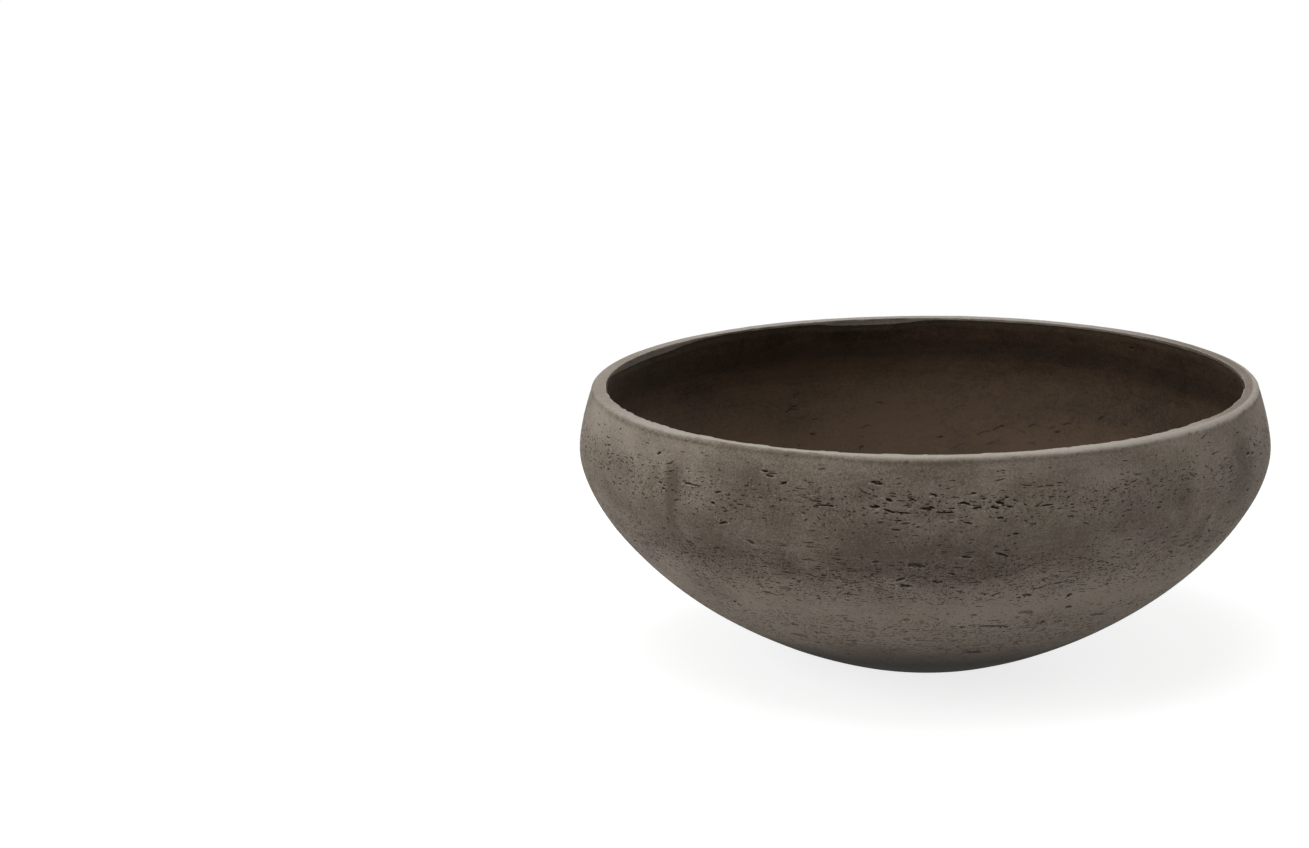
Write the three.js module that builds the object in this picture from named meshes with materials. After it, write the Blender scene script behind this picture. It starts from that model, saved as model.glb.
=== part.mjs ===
// A bowl planter: a wide, thin-walled shell of cast fibre cement that leans in above its belly and stands
// on a small flat foot, a brushed sealing coat on its inside, a ribbed rubber plug in the drain hole and
// four round pads under the foot. Millimetres, +Z up; the origin is on the floor, under the bowl's axis.
//
// The bowl is turned from one outer line, a list of stations that runs from the drain hole over the foot,
// up the flank, round the belly and up to the rim. The inner wall and both faces of the coat are that same
// line moved inwards along its own normals, so they follow every change of the outer line.

import * as THREE from "three";

const degrees = THREE.MathUtils.degToRad;

// ---- Driving dimensions ----

const SHELL_HEIGHT = 220; // foot to rim top
const BELLY_RADIUS = 275; // widest point of the bowl
const BELLY_BELOW_RIM = 50; // widest point, down from the rim top
const RIM_INSET = 11.2; // outer edge of the rim, in from the belly, before it is rounded
const RIM_LEAN = degrees(20); // wall at the rim, inwards from upright
const RIM_ROUND = 5.5; // outer edge of the rim
const RIM_EASE = 0.8; // inner edge of the rim
const FOOT_RADIUS = 68; // flat part of the foot
const FOOT_ROUND = 58; // radius between the foot and the flank
const FLANK_RISE = degrees(18.5); // flank above level, where it leaves the foot

// How far the flank's two curves hold on to their end tangents, as a share of their own rise or run.
const UPPER_HOLD_AT_RIM = 0.4;
const UPPER_HOLD_AT_BELLY = 0.24;
const LOWER_HOLD_AT_BELLY = 0.24;
const LOWER_HOLD_AT_FOOT = 0.705;

const WALL = 11; // wall from the rim to the belly
const FLOOR = 14; // floor of the bowl, which the wall thickens to below the belly

const COAT = 1; // thickness of the sealing coat
const COAT_BELOW_RIM = 6; // bare wall above the coat

const HOLE_RADIUS = 11; // drain hole
const PLUG_CLEARANCE = 0.3; // between the plug's ribs and the hole
const PLUG_RIB_DEPTH = 1.7;
const PLUG_RIBS = 3;
const PLUG_FLANGE_LAP = 7; // flange past the edge of the hole
const PLUG_FLANGE = 4; // flange thickness at its middle
const PLUG_FLANGE_EDGE = 2.5; // flange thickness at its edge
const PLUG_RECESS = 1; // end of the stem, up from the underside of the foot
const PLUG_SEAT_DEPTH = 2; // round dip in the floor, which takes the flange and leads water to the hole
const PLUG_SEAT_MARGIN = 1.5; // level part of the dip, past the flange

const PAD_COUNT = 4;
const PAD_RADIUS = 10;
const PAD_THICKNESS = 2.5;
const PAD_CHAMFER = 0.6; // lower edge of the pad
const PAD_INSET = 8; // pad's edge, in from the edge of the flat foot

const SEAT_GAP = 0.3; // between a piece and what it is bonded to or rests on

const PLUG_FLANGE_RADIUS = HOLE_RADIUS + PLUG_FLANGE_LAP;
const PLUG_SEAT_RADIUS = PLUG_FLANGE_RADIUS + PLUG_SEAT_MARGIN;

// How finely the round shapes are divided.
const BOWL_SEGMENTS = 64;
const PLUG_SEGMENTS = 32;
const PAD_SEGMENTS = 24;
const LOWER_STEPS = 10;
const UPPER_STEPS = 4;
const ROUND_STEPS = 3;
const CROWN_STEPS = 5;

// ---- The outer line ----

// A station is a point of the outer line, (r, z) above the foot, with the unit normal that points into the
// wall and the depth of the wall there.
const station = (point, tangent, depth) => ({
  point,
  inward: new THREE.Vector2(-tangent.y, tangent.x).normalize(),
  depth,
});

// Stations along a curve, without its first point; depthAt takes the share of the way along it.
function stationsAlong(curve, steps, depthAt) {
  return Array.from({ length: steps }, (_, i) => {
    const share = (i + 1) / steps;
    return station(curve.getPoint(share), curve.getTangent(share), depthAt(share));
  });
}

// A station on the flat underside of the foot.
const footStation = (radius, depth) => station(new THREE.Vector2(radius, 0), new THREE.Vector2(1, 0), depth);

function outerStations() {
  const upright = new THREE.Vector2(0, 1);
  const alongFlank = new THREE.Vector2(Math.cos(FLANK_RISE), Math.sin(FLANK_RISE));
  const alongRim = new THREE.Vector2(-Math.sin(RIM_LEAN), Math.cos(RIM_LEAN));

  const toeCentre = new THREE.Vector2(FOOT_RADIUS, FOOT_ROUND);
  const flankStart = toeCentre.clone().add(
    new THREE.Vector2(Math.sin(FLANK_RISE), -Math.cos(FLANK_RISE)).multiplyScalar(FOOT_ROUND),
  );
  const belly = new THREE.Vector2(BELLY_RADIUS, SHELL_HEIGHT - BELLY_BELOW_RIM);
  const rim = new THREE.Vector2(BELLY_RADIUS - RIM_INSET, SHELL_HEIGHT);
  const lowerSpan = belly.clone().sub(flankStart);

  const down = -Math.PI / 2;
  const toe = new THREE.EllipseCurve(...toeCentre, FOOT_ROUND, FOOT_ROUND, down, down + FLANK_RISE);
  const lower = new THREE.CubicBezierCurve(
    flankStart,
    flankStart.clone().addScaledVector(alongFlank, lowerSpan.x * LOWER_HOLD_AT_FOOT),
    belly.clone().addScaledVector(upright, -lowerSpan.y * LOWER_HOLD_AT_BELLY),
    belly,
  );
  const upper = new THREE.CubicBezierCurve(
    belly,
    belly.clone().addScaledVector(upright, BELLY_BELOW_RIM * UPPER_HOLD_AT_BELLY),
    rim.clone().addScaledVector(alongRim, -BELLY_BELOW_RIM * UPPER_HOLD_AT_RIM),
    rim,
  );

  return [
    footStation(HOLE_RADIUS, FLOOR - PLUG_SEAT_DEPTH),
    footStation(PLUG_SEAT_RADIUS, FLOOR - PLUG_SEAT_DEPTH),
    footStation(PLUG_SEAT_RADIUS + PLUG_SEAT_DEPTH, FLOOR),
    footStation(FOOT_RADIUS, FLOOR),
    ...stationsAlong(toe, ROUND_STEPS, () => FLOOR),
    ...stationsAlong(lower, LOWER_STEPS, (t) => THREE.MathUtils.lerp(FLOOR, WALL, t * t * (3 - 2 * t))),
    ...stationsAlong(upper, UPPER_STEPS, () => WALL),
  ];
}

const STATIONS = outerStations();

// The inner face of the wall, or a line that lies a little further in.
function innerLine(further = 0) {
  return STATIONS.map(({ point, inward, depth }) => point.clone().addScaledVector(inward, depth + further));
}

// A line that starts at the drain hole, ended at a height: its stretch there is shortened or drawn out.
function endedAt(height, line) {
  const over = line.findIndex((p) => p.y >= height);
  const last = over < 0 ? line.length - 1 : over;
  const share = (height - line[last - 1].y) / (line[last].y - line[last - 1].y);
  return [...line.slice(0, last), line[last - 1].clone().lerp(line[last], share)];
}

// ---- Turning a line into a solid ----

// The arc that takes the place of the corner between two straight edges.
function rounded(before, corner, after, radius) {
  const back = before.clone().sub(corner).normalize();
  const on = after.clone().sub(corner).normalize();
  const halfAngle = Math.acos(back.dot(on)) / 2;
  const toCentre = back.clone().add(on).normalize();
  const centre = corner.clone().addScaledVector(toCentre, radius / Math.sin(halfAngle));
  const start = corner.clone().addScaledVector(back, radius / Math.tan(halfAngle)).sub(centre);
  const end = corner.clone().addScaledVector(on, radius / Math.tan(halfAngle)).sub(centre);
  const sweep = Math.atan2(start.cross(end), start.dot(end));
  return Array.from({ length: ROUND_STEPS + 1 }, (_, i) =>
    start.clone().rotateAround(new THREE.Vector2(), (sweep * i) / ROUND_STEPS).add(centre),
  );
}

// Turns a profile of (r, z) points about the Z axis.
function turned(name, profile, segments, material) {
  const mesh = new THREE.Mesh(new THREE.LatheGeometry(profile, segments).rotateX(Math.PI / 2), material);
  mesh.name = name;
  return mesh;
}

// ---- Materials ----

const fibreCement = new THREE.MeshStandardMaterial({ color: 0x5d554d, roughness: 0.85, metalness: 0 });
const sealer = new THREE.MeshStandardMaterial({ color: 0x3f342b, roughness: 0.6, metalness: 0 });
const blackRubber = new THREE.MeshStandardMaterial({ color: 0x1d1c1b, roughness: 0.7, metalness: 0 });
const greyRubber = new THREE.MeshStandardMaterial({ color: 0x3a3a3a, roughness: 0.8, metalness: 0 });

// ---- The pieces ----

// The casting. Its rim is flat, rounded outside and eased inside, and the drain hole goes through its floor.
function bowlShell() {
  const outside = STATIONS.map(({ point }) => point);
  const outerCorner = outside.at(-1);
  const inside = endedAt(SHELL_HEIGHT, innerLine());
  const innerCorner = inside.at(-1);
  const profile = [
    ...outside.slice(0, -1),
    ...rounded(outside.at(-2), outerCorner, innerCorner, RIM_ROUND),
    ...rounded(outerCorner, innerCorner, inside.at(-2), RIM_EASE),
    ...inside.slice(0, -1).reverse(),
    outside[0].clone(),
  ];
  return turned("bowl_shell", profile, BOWL_SEGMENTS, fibreCement);
}

// The coat, from the edge of the drain hole to just below the rim.
function sealingCoat() {
  const top = SHELL_HEIGHT - COAT_BELOW_RIM;
  const bonded = endedAt(top, innerLine(SEAT_GAP));
  const face = endedAt(top, innerLine(SEAT_GAP + COAT));
  const profile = [...bonded, ...face.reverse(), bonded[0].clone()];
  return turned("inner_sealing_coat", profile, BOWL_SEGMENTS, sealer);
}

// The plug stands on the coat by its flange, and its stem grips the hole with ribs that widen upwards.
function drainPlug() {
  const flangeSeat = FLOOR - PLUG_SEAT_DEPTH + SEAT_GAP + COAT + SEAT_GAP;
  const ribRadius = HOLE_RADIUS - PLUG_CLEARANCE;
  const stemRadius = ribRadius - PLUG_RIB_DEPTH;
  const pitch = (flangeSeat - PLUG_RECESS) / (PLUG_RIBS + 1);
  const ribs = Array.from({ length: PLUG_RIBS }, (_, i) => {
    const widest = PLUG_RECESS + pitch * (i + 1);
    return [
      new THREE.Vector2(stemRadius, widest - pitch / 2),
      new THREE.Vector2(ribRadius, widest),
      new THREE.Vector2(stemRadius, widest + PLUG_CLEARANCE),
    ];
  });
  const crown = new THREE.QuadraticBezierCurve(
    new THREE.Vector2(PLUG_FLANGE_RADIUS, flangeSeat + PLUG_FLANGE_EDGE),
    new THREE.Vector2(PLUG_FLANGE_RADIUS, flangeSeat + PLUG_FLANGE),
    new THREE.Vector2(0, flangeSeat + PLUG_FLANGE),
  );
  const profile = [
    new THREE.Vector2(0, PLUG_RECESS),
    new THREE.Vector2(stemRadius, PLUG_RECESS),
    ...ribs.flat(),
    new THREE.Vector2(stemRadius, flangeSeat),
    new THREE.Vector2(PLUG_FLANGE_RADIUS, flangeSeat),
    ...crown.getPoints(CROWN_STEPS),
  ];
  return turned("drain_plug", profile, PLUG_SEGMENTS, blackRubber);
}

// A round self-adhesive pad. Its top face is stuck to the underside of the foot.
function footPad(number) {
  const profile = [
    new THREE.Vector2(0, 0),
    new THREE.Vector2(PAD_RADIUS - PAD_CHAMFER, 0),
    new THREE.Vector2(PAD_RADIUS, PAD_CHAMFER),
    new THREE.Vector2(PAD_RADIUS, PAD_THICKNESS),
    new THREE.Vector2(0, PAD_THICKNESS),
  ];
  const pad = turned(`foot_pad_${number}`, profile, PAD_SEGMENTS, greyRubber);
  const outFromAxis = FOOT_RADIUS - PAD_INSET - PAD_RADIUS;
  const turn = ((number - 0.5) / PAD_COUNT) * 2 * Math.PI;
  pad.position.set(outFromAxis * Math.cos(turn), outFromAxis * Math.sin(turn), 0);
  return pad;
}

const bowl = new THREE.Group();
bowl.position.z = PAD_THICKNESS;
bowl.add(bowlShell(), sealingCoat(), drainPlug());

const planter = new THREE.Group();
planter.name = "bowl_planter";
planter.add(bowl);
for (let number = 1; number <= PAD_COUNT; number += 1) {
  planter.add(footPad(number));
}

export default planter;
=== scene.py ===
"""A bowl planter of cast fibre cement: the looks of its pieces, and a plain studio round it.

The casting, its sealing coat, the drain plug and the foot pads are surfaces of revolution. Each is a line in
the (r, z) plane, read by the distance along it and turned about the Z axis; the relief of the cement and the
coat then moves the surface along its own normal. Lengths are in millimetres until a mesh is made.
"""

import math

import bpy
import numpy as np
from bpy.props import FloatProperty, FloatVectorProperty, IntProperty, PointerProperty
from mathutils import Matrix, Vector


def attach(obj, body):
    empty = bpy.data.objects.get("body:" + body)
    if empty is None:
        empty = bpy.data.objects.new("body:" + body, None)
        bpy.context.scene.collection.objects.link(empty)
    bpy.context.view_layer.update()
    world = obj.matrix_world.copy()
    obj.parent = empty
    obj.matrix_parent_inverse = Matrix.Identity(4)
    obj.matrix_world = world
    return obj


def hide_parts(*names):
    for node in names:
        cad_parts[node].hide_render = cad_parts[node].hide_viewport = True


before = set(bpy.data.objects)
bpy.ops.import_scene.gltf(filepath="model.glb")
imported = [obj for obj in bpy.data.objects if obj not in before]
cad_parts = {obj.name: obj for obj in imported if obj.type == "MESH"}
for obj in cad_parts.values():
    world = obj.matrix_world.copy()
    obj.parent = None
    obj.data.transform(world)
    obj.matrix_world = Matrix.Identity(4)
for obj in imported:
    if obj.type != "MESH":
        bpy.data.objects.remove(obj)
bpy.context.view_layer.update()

bl_info = {
    "name": "Bowl Planter",
    "version": (1, 0, 0),
    "blender": (4, 5, 0),
    "location": "3D View > Sidebar > Planter",
    "description": "Builds a fibre-cement bowl planter with its coat, plug and pads, and a studio for it",
    "category": "Add Mesh",
}

METRES = 0.001
PAD_THICKNESS = 2.5

# The bowl's outer line, above the underside of its foot.
SHELL_HEIGHT = 220.0
BELLY_RADIUS = 275.0
BELLY_BELOW_RIM = 50.0
RIM_INSET = 11.2
RIM_LEAN = math.radians(20)
RIM_ROUND = 5.5
RIM_EASE = 0.8
FOOT_RADIUS = 68.0
FOOT_ROUND = 58.0
FLANK_RISE = math.radians(18.5)
UPPER_HOLD_AT_RIM = 0.4
UPPER_HOLD_AT_BELLY = 0.24
LOWER_HOLD_AT_BELLY = 0.24
LOWER_HOLD_AT_FOOT = 0.705
WALL = 11.0
FLOOR = 14.0

COAT = 1.0
COAT_BELOW_RIM = 1.9
COAT_EDGE_ROUND = 0.45
HOLE_RADIUS = 11.0
PLUG_SEAT_DEPTH = 2.0
PLUG_SEAT_RADIUS = 19.5
SEAT_GAP = 0.3

PLUG_STEM = 9.0
PLUG_STEM_BEVEL = 0.5
PLUG_RIB = 10.7
PLUG_RIBS = 3
PLUG_RIB_TAPER = (0.15, 0.25)
PLUG_FLANGE_RADIUS = 18.0
PLUG_FLANGE = 4.0
PLUG_FLANGE_EDGE = 2.3
PLUG_FLANGE_BEVEL = 0.4
PLUG_RING_RADIUS = 12.5
PLUG_RECESS = 1.0

PAD_COUNT = 4
PAD_RADIUS = 10.0
PAD_CHAMFER = 0.6
PAD_FROM_AXIS = 50.0

# How finely the lines and the surfaces are divided.
FINE_STEP = 0.1
CURVE_POINTS = 700
ARC_POINTS = 40
COLUMNS = 90
SHELL_SPLITS = 5
COAT_SPLITS = 4
SPOT_REACH = 1.4
SPOT_MARGIN = (1.2, 0.7)
PLUG_COLUMNS = 120
PAD_COLUMNS = 72


# ---- Lines in the (r, z) plane ----


def smooth(share):
    """The smooth step from 0 to 1: three times the square less twice the cube."""
    share = np.clip(share, 0, 1)
    return share * share * (3 - 2 * share)


def bezier(a, b, c, d, count=CURVE_POINTS):
    """A cubic curve: its four points weighted by (1-t)^3, 3t(1-t)^2, 3t^2(1-t) and t^3."""
    t = np.linspace(0, 1, count)[:, None]
    return (1 - t) ** 3 * a + 3 * t * (1 - t) ** 2 * b + 3 * t**2 * (1 - t) * c + t**3 * d


def along(angle):
    """The unit vector at an angle above level."""
    return np.array([math.cos(angle), math.sin(angle)])


def outer_line():
    """The outer line from the drain hole to the rim's corner, and the depth of the wall at each point.

    A level foot, an arc that turns up into the flank, a cubic curve to the belly and another to the rim.
    The wall thins smoothly from the floor's depth to the rim's along the first of the two curves.
    """
    foot_r = np.linspace(HOLE_RADIUS, FOOT_RADIUS, CURVE_POINTS)
    foot = np.c_[foot_r, np.zeros(CURVE_POINTS)]
    turn = np.linspace(0, FLANK_RISE, ARC_POINTS)
    toe = np.array([FOOT_RADIUS, FOOT_ROUND]) + FOOT_ROUND * np.c_[np.sin(turn), -np.cos(turn)]
    upright = np.array([0.0, 1.0])
    belly = np.array([BELLY_RADIUS, SHELL_HEIGHT - BELLY_BELOW_RIM])
    rim = np.array([BELLY_RADIUS - RIM_INSET, SHELL_HEIGHT])
    run, rise = belly - toe[-1]
    lower = bezier(
        toe[-1],
        toe[-1] + along(FLANK_RISE) * run * LOWER_HOLD_AT_FOOT,
        belly - upright * rise * LOWER_HOLD_AT_BELLY,
        belly,
    )
    upper = bezier(
        belly,
        belly + upright * BELLY_BELOW_RIM * UPPER_HOLD_AT_BELLY,
        rim - along(math.pi / 2 + RIM_LEAN) * BELLY_BELOW_RIM * UPPER_HOLD_AT_RIM,
        rim,
    )
    dip = [FLOOR - PLUG_SEAT_DEPTH, FLOOR]
    foot_depth = np.interp(foot_r, [PLUG_SEAT_RADIUS, PLUG_SEAT_RADIUS + PLUG_SEAT_DEPTH], dip)
    lower_depth = FLOOR + (WALL - FLOOR) * smooth(np.linspace(0, 1, CURVE_POINTS))
    line = np.r_[foot, toe[1:], lower[1:], upper[1:]]
    toe_depth = np.full(ARC_POINTS - 1, FLOOR)
    upper_depth = np.full(CURVE_POINTS - 1, WALL)
    return line, np.r_[foot_depth, toe_depth, lower_depth[1:], upper_depth]


def inner_line(further=0.0):
    """The outer line moved inwards along its own normals by the wall's depth, and a little further."""
    line, depth = outer_line()
    tangent = np.gradient(line, axis=0)
    tangent /= np.linalg.norm(tangent, axis=1)[:, None]
    inward = np.c_[-tangent[:, 1], tangent[:, 0]]
    return line + inward * (depth + further)[:, None]


def ended_at(height, line):
    """A rising line, cut off where it reaches a height, or drawn out straight to it."""
    reached = line[:, 1] >= height
    last = int(np.argmax(reached)) if reached.any() else len(line) - 1
    share = (height - line[last - 1, 1]) / (line[last, 1] - line[last - 1, 1])
    return np.r_[line[:last], [line[last - 1] + share * (line[last] - line[last - 1])]]


def rounded(before, corner, after, radius):
    """The arc of a radius that touches both edges of a corner, from the first edge to the second."""
    back = (before - corner) / np.linalg.norm(before - corner)
    on = (after - corner) / np.linalg.norm(after - corner)
    half = math.acos(float(np.clip(back @ on, -1, 1))) / 2
    middle = (back + on) / np.linalg.norm(back + on)
    centre = corner + middle * radius / math.sin(half)
    start = corner + back * radius / math.tan(half) - centre
    end = corner + on * radius / math.tan(half) - centre
    sweep = math.atan2(start[0] * end[1] - start[1] * end[0], start @ end)
    turn = np.linspace(0, sweep, ARC_POINTS)[:, None]
    across = np.array([-start[1], start[0]])
    return centre + start * np.cos(turn) + across * np.sin(turn)


def with_corner_rounded(first, second, radius):
    """Two lines that meet in a corner, joined by an arc: each is cut back to where the arc begins."""
    corner = first[-1]
    bend = rounded(first[-2], corner, second[1], radius)
    kept = first[np.linalg.norm(first - corner, axis=1) > np.linalg.norm(bend[0] - corner)]
    rest = second[np.linalg.norm(second - corner, axis=1) > np.linalg.norm(bend[-1] - corner)]
    return np.r_[kept, bend, rest]


class Section:
    """A line of (r, z) points read by the distance along it: its place, and its normal to the right of it."""

    def __init__(self, points):
        steps = np.linalg.norm(np.diff(points, axis=0), axis=1)
        points = points[np.r_[True, steps > 1e-7]]
        measured = np.r_[0, np.cumsum(np.linalg.norm(np.diff(points, axis=0), axis=1))]
        self.length = float(measured[-1])
        self.marks = np.linspace(0, self.length, round(self.length / FINE_STEP) + 1)
        self.place = np.c_[
            np.interp(self.marks, measured, points[:, 0]),
            np.interp(self.marks, measured, points[:, 1]),
        ]
        tangent = np.gradient(self.place, axis=0)
        tangent /= np.linalg.norm(tangent, axis=1)[:, None]
        self.normal = np.c_[tangent[:, 1], -tangent[:, 0]]

    def at(self, distance):
        """Radius, height, and the normal's two parts."""
        return [np.interp(distance, self.marks, values) for values in (*self.place.T, *self.normal.T)]

    def nearest(self, r, z):
        """The distance along the line of its point nearest to (r, z)."""
        return float(self.marks[np.argmin(np.hypot(self.place[:, 0] - r, self.place[:, 1] - z))])


# ---- Surfaces ----


def ring_faces(counts):
    """The faces between rings of so many corners each, one ring after another: quads between equal rings, and
    triangles where one of the two is a single pole."""
    starts = np.r_[0, np.cumsum(counts)]
    faces = []
    for a, b, first, second in zip(starts, starts[1:], counts, counts[1:]):
        j = np.arange(max(first, second))
        k = (j + 1) % len(j)
        if first == 1:
            corners = (a + 0 * j, b + k, b + j)
        elif second == 1:
            corners = (a + j, a + k, b + 0 * j)
        else:
            corners = (a + j, a + k, b + k, b + j)
        faces.extend(np.stack(corners, axis=1).tolist())
    return faces


def placed(bearing, r, z):
    """Points at a bearing, counted anticlockwise from +X, a radius and a height."""
    return np.stack(np.broadcast_arrays(r * np.cos(bearing), r * np.sin(bearing), z), axis=1)


# ---- Seeded noise, for relief ----


# Odd numbers that mix a lattice corner's whole coordinates with the seed, and masks for the lowest bits.
CORNER_FACTORS = (374761393, 668265263, 1440662683)
SEED_FACTOR = 69069
MIX_FACTOR = 1274126177
BITS_32 = 0xFFFFFFFF
BITS_16 = 0xFFFF


def corner_value(corner, seed):
    """A number from 0 to 1 for a corner of a cubic lattice: its coordinates, mixed and cut to 16 bits."""
    mixed = (corner @ np.array(CORNER_FACTORS) + seed * SEED_FACTOR) & BITS_32
    mixed = ((mixed ^ (mixed >> 13)) * MIX_FACTOR) & BITS_32
    return ((mixed ^ (mixed >> 16)) & BITS_16) / BITS_16


def clouds(points, size, seed):
    """Value noise from -1 to 1: the values at the lattice's corners, blended by smooth steps. The size is the
    lattice's step, one number or one for each direction."""
    scaled = points / np.asarray(size, float)
    low = np.floor(scaled).astype(np.int64)
    share = smooth(scaled - low)
    total = np.zeros(len(points))
    for corner in np.ndindex(2, 2, 2):
        weight = np.prod(np.where(np.array(corner) == 1, share, 1 - share), axis=1)
        total += weight * corner_value(low + np.array(corner), seed)
    return 2 * total - 1


def layered(points, layers):
    """Clouds upon clouds: a layer is its weight, the size of its clouds and its seed."""
    return sum(weight * clouds(points, size, seed) for weight, size, seed in layers)


# ---- Places on the round ----


def wrapped(angle):
    """An angle brought to between minus and plus half a turn."""
    return (angle + math.pi) % (2 * math.pi) - math.pi


def front_bearing(degrees):
    """The bearing, anticlockwise from +X, of a place so many degrees to the right of the front."""
    return math.radians(degrees - 90)


def sector(bearing, middle, half_width):
    """1 round a place so many degrees to the right of the front, and 0 beyond its half width in degrees: the
    exponential of minus the fourth power."""
    return np.exp(-((wrapped(bearing - front_bearing(middle)) / math.radians(half_width)) ** 4))


def bell(offset, width):
    """A bell curve: 1 at no offset, and about a third at an offset of the width."""
    return np.exp(-((offset / width) ** 2))


# ---- Broken places in the cement ----

# The air pits that show most, as bearing from the front in degrees (to the right), distance along the outer
# line, half length, half height, depth, slope in degrees and how much the pit arches.
FRONT_PITS = (
    (-8, 372, 2.2, 1, 1.3, -8, 0.6),
    (-7, 371, 2.2, 1.1, 1, -13, 0.5),
    (-5.5, 359, 3, 1, 1.6, -24, 0),
    (-7.5, 354, 3, 1, 1.7, -3, 0.5),
    (-5.5, 351, 4, 0.8, 1.6, -17, 0),
    (-3.5, 350, 6, 0.6, 1.3, -5, 0),
    (-2, 360, 4.5, 0.7, 1.2, -22, 0),
    (-2.5, 355, 2, 2, 0.8, 0, 0),
    (0, 353, 3, 0.8, 1.5, 0, 0),
    (1, 354, 2, 1, 1.6, 0, 0.5),
    (1.5, 363, 2.5, 1, 1, -15, 0.6),
    (4, 353, 3, 0.6, 1, 0, 0),
    (3.5, 347, 6.5, 2.6, 0.6, 0, 0),
    (3.5, 350, 4.5, 0.6, 1.2, 0, -0.3),
    (6, 357, 4.5, 0.9, 1.8, -10, 1),
    (7.5, 364, 2.2, 0.8, 1, 0, 0.6),
    (8, 353, 4, 0.7, 1.2, 8, 0),
    (10.5, 353, 2.6, 0.9, 1.4, -10, 0.4),
    (11.5, 356, 3.4, 1, 1.6, -20, 0),
    (13, 353, 2.6, 0.8, 1.2, -13, 0),
    (19, 352, 5, 0.6, 1, 3, 0.3),
    (11.5, 345, 2.4, 0.7, 1, 0, 0),
    (-4, 344, 3.4, 0.6, 0.9, 0, 0.2),
    (6.5, 342, 3.4, 0.6, 0.9, -10, 0),
    (-4.5, 337, 4, 0.6, 0.9, -3, 0),
    (14, 332, 2, 0.9, 1.3, 0, 0),
    (6.5, 314, 3.6, 1, 1.4, -8, 0),
    (12, 315, 4.6, 0.9, 1, -21, 0),
    (-4, 292, 3.4, 1.3, 1.5, 22, 0),
    (-3, 285, 4.4, 1.2, 1.2, -7, 0),
    (-1.5, 307, 5.6, 1.8, 1, -6, 0.3),
    (2, 289, 3.6, 1, 1, 0, -0.4),
    (18, 269, 3.8, 1.4, 1.4, -15, 0),
    (26.5, 263, 2.4, 1.5, 1.8, -5, 0),
    (28, 245, 3, 1.6, 1.7, -14, 0),
    (24.5, 225, 2.4, 2, 1.8, 19, 0),
    (7.5, 227, 2.4, 1.8, 1.8, 7, 0),
    (13.5, 226, 13, 1.6, 1.5, -8, 0),
    (19.5, 244, 6.6, 2.2, 1, -20, 0.5),
    (12, 173, 6.6, 2.8, 1.6, -12, 0),
    (-28, 217, 3.8, 2, 1.3, -4, 0),
    (-48, 373, 2.4, 1, 1.4, 24, 0),
    (-26, 374, 2.4, 0.8, 1.3, 0, 0),
    (-25, 371, 3.4, 0.8, 1, -5, 0),
    (-22.5, 367, 2.8, 0.9, 1.6, 24, 0.3),
    (-15.5, 353, 7, 0.6, 1, 2, 0),
    (-40, 356, 4.6, 0.7, 1, 0, 0.4),
    (-35, 345, 2, 0.9, 1.5, -9, 0),
    (-33, 331, 3.8, 0.9, 1.2, 17, 0.5),
    (-28.5, 318, 3.6, 1, 1.1, -27, 0),
)

# Belts of air pits round the bowl: their middle and spread along the outer line, how many pits they hold, in
# how many clusters, and the half length and half height of the smallest and the largest pit.
PIT_BELTS = (
    (356, 9, 66, 22, (1.6, 4.6), (0.6, 1.1)),
    (322, 16, 28, 16, (1.6, 3.6), (0.6, 0.9)),
    (284, 14, 66, 20, (2, 6), (0.7, 1.3)),
    (228, 20, 50, 16, (2.2, 7.5), (0.9, 1.7)),
    (176, 18, 20, 10, (2.2, 6), (1.2, 2.2)),
)

# Strewn pits: the share of them in clusters, a cluster's spread in degrees, how far the clusters and the pits
# in one are spread along the line, as shares of the belt's spread, and the power that makes most pits short;
# then the least and greatest depth, the mean slope and its spread in degrees, the share of them that arch,
# and the least and greatest arch.
CLUSTERED = 0.66
CLUSTER_SPREAD = 4.5
CLUSTER_SCATTER = (0.7, 0.35)
SMALL_OVER_LARGE = 2.2
PIT_DEPTHS = (0.8, 1.7)
PIT_SLOPES = (-4, 12)
ARCHED = 0.3
ARCHES = (0.2, 0.9)

# Within so many degrees of the front, the share of them that is kept and how large they may be, as a share of
# the belt's smallest.
FRONT_HALF_WIDTH = 60
KEPT_IN_FRONT = 0.5
LARGEST_IN_FRONT = 1.2

# A pit's shape, as shares of its size: where its wall begins and how wide that is, how far its outline is
# drawn in and out, and the middle and width of its lower lip, which is raised and gets a painted highlight.
PIT_OUTLINE = 1.15
PIT_WALL = 0.35
PIT_RAGGED = 0.5
LIP_MIDDLE = 1.4
LIP_WIDTH = 0.22
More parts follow.
